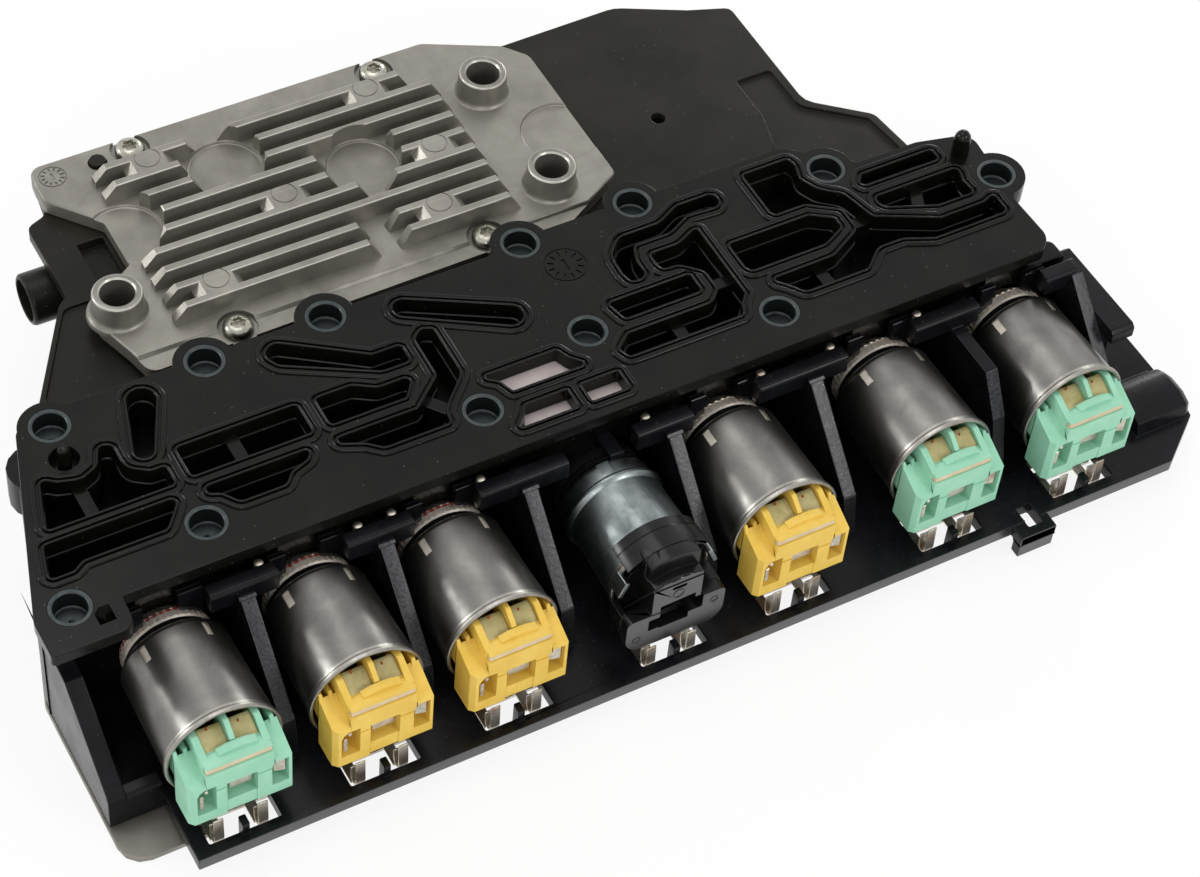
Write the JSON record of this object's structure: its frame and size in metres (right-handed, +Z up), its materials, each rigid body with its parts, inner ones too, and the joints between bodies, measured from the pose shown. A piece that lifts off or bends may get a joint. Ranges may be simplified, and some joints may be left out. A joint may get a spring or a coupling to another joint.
{
  "type": "transmission control module",
  "caption": "Transmission control module: a row of canned solenoids in a black channelled oil manifold, with a finned heat sink on a rear electronics housing.",
  "frame": {"origin": "under the middle of the overall box, at the level of the base plate's underside", "axes": "+X along the row of solenoids (to the right seen from the connectors), +Y back towards the heat sink, +Z up out of the sealing face"},
  "size_m": [0.2688, 0.1682, 0.0523],
  "materials": {
    "black_nylon": "black glass-filled nylon, satin",
    "black_frame_nylon": "black nylon, fine grain",
    "can_steel": "drawn steel, grey, lightly scuffed",
    "zinc_plated_steel": "zinc plated, mottled",
    "turned_steel": "turned steel, warm grey",
    "bushing_steel": "dark phosphated steel",
    "cast_aluminium": "die-cast, satin",
    "tinned_terminal": "tinned spring terminal, bright",
    "mint_connector": "mint green nylon",
    "yellow_connector": "amber yellow nylon",
    "natural_bobbin": "natural cream nylon, slightly clear",
    "pale_screen": "pale moulded plate",
    "board_green": "green solder mask"
  },
  "bodies": {
    "module": {"manifold_body": "black_nylon", "screen_plate": "pale_screen", "solenoid_frame": "black_frame_nylon", "rear_housing": "black_nylon", "heat_sink": "cast_aluminium", "circuit_board": "board_green", "base_plate": "cast_aluminium", "lead_frame": "tinned_terminal", "bushing_1": "bushing_steel", "bushing_2": "bushing_steel", "bushing_3": "bushing_steel", "bushing_4": "bushing_steel", "bushing_5": "bushing_steel", "bushing_6": "bushing_steel", "bushing_7": "bushing_steel", "bushing_8": "bushing_steel", "bushing_9": "bushing_steel", "bushing_10": "bushing_steel", "bushing_11": "bushing_steel", "bushing_12": "bushing_steel", "heat_sink_screw_1": "turned_steel", "heat_sink_screw_2": "turned_steel", "heat_sink_screw_3": "turned_steel", "heat_sink_screw_4": "turned_steel", "solenoid_1_can": "can_steel", "solenoid_1_nozzle": "turned_steel", "solenoid_1_coil": "natural_bobbin", "solenoid_1_connector": "mint_connector", "solenoid_2_can": "can_steel", "solenoid_2_nozzle": "turned_steel", "solenoid_2_coil": "natural_bobbin", "solenoid_2_connector": "yellow_connector", "solenoid_3_can": "can_steel", "solenoid_3_nozzle": "turned_steel", "solenoid_3_coil": "natural_bobbin", "solenoid_3_connector": "yellow_connector", "solenoid_4_can": "zinc_plated_steel", "solenoid_4_nozzle": "turned_steel", "solenoid_4_coil": "natural_bobbin", "solenoid_4_connector": "black_nylon", "solenoid_5_can": "can_steel", "solenoid_5_nozzle": "turned_steel", "solenoid_5_coil": "natural_bobbin", "solenoid_5_connector": "yellow_connector", "solenoid_6_can": "can_steel", "solenoid_6_nozzle": "turned_steel", "solenoid_6_coil": "natural_bobbin", "solenoid_6_connector": "mint_connector", "solenoid_7_can": "can_steel", "solenoid_7_nozzle": "turned_steel", "solenoid_7_coil": "natural_bobbin", "solenoid_7_connector": "mint_connector"},
    "plunger_1": {"solenoid_1_plunger": "turned_steel"},
    "plunger_2": {"solenoid_2_plunger": "turned_steel"},
    "plunger_3": {"solenoid_3_plunger": "turned_steel"},
    "plunger_4": {"solenoid_4_plunger": "turned_steel"},
    "plunger_5": {"solenoid_5_plunger": "turned_steel"},
    "plunger_6": {"solenoid_6_plunger": "turned_steel"},
    "plunger_7": {"solenoid_7_plunger": "turned_steel"}
  },
  "joints": [
    {"name": "plunger_1_slide", "type": "slide", "parent": "module", "child": "plunger_1", "axis": [0, 1, 0], "range_m": [0, 0.0015], "stiffness_N_per_m": 400},
    {"name": "plunger_2_slide", "type": "slide", "parent": "module", "child": "plunger_2", "axis": [0, 1, 0], "range_m": [0, 0.0015], "stiffness_N_per_m": 400},
    {"name": "plunger_3_slide", "type": "slide", "parent": "module", "child": "plunger_3", "axis": [0, 1, 0], "range_m": [0, 0.0015], "stiffness_N_per_m": 400},
    {"name": "plunger_4_slide", "type": "slide", "parent": "module", "child": "plunger_4", "axis": [0, 1, 0], "range_m": [0, 0.0015], "stiffness_N_per_m": 400},
    {"name": "plunger_5_slide", "type": "slide", "parent": "module", "child": "plunger_5", "axis": [0, 1, 0], "range_m": [0, 0.0015], "stiffness_N_per_m": 400},
    {"name": "plunger_6_slide", "type": "slide", "parent": "module", "child": "plunger_6", "axis": [0, 1, 0], "range_m": [0, 0.0015], "stiffness_N_per_m": 400},
    {"name": "plunger_7_slide", "type": "slide", "parent": "module", "child": "plunger_7", "axis": [0, 1, 0], "range_m": [0, 0.0015], "stiffness_N_per_m": 400}
  ]
}
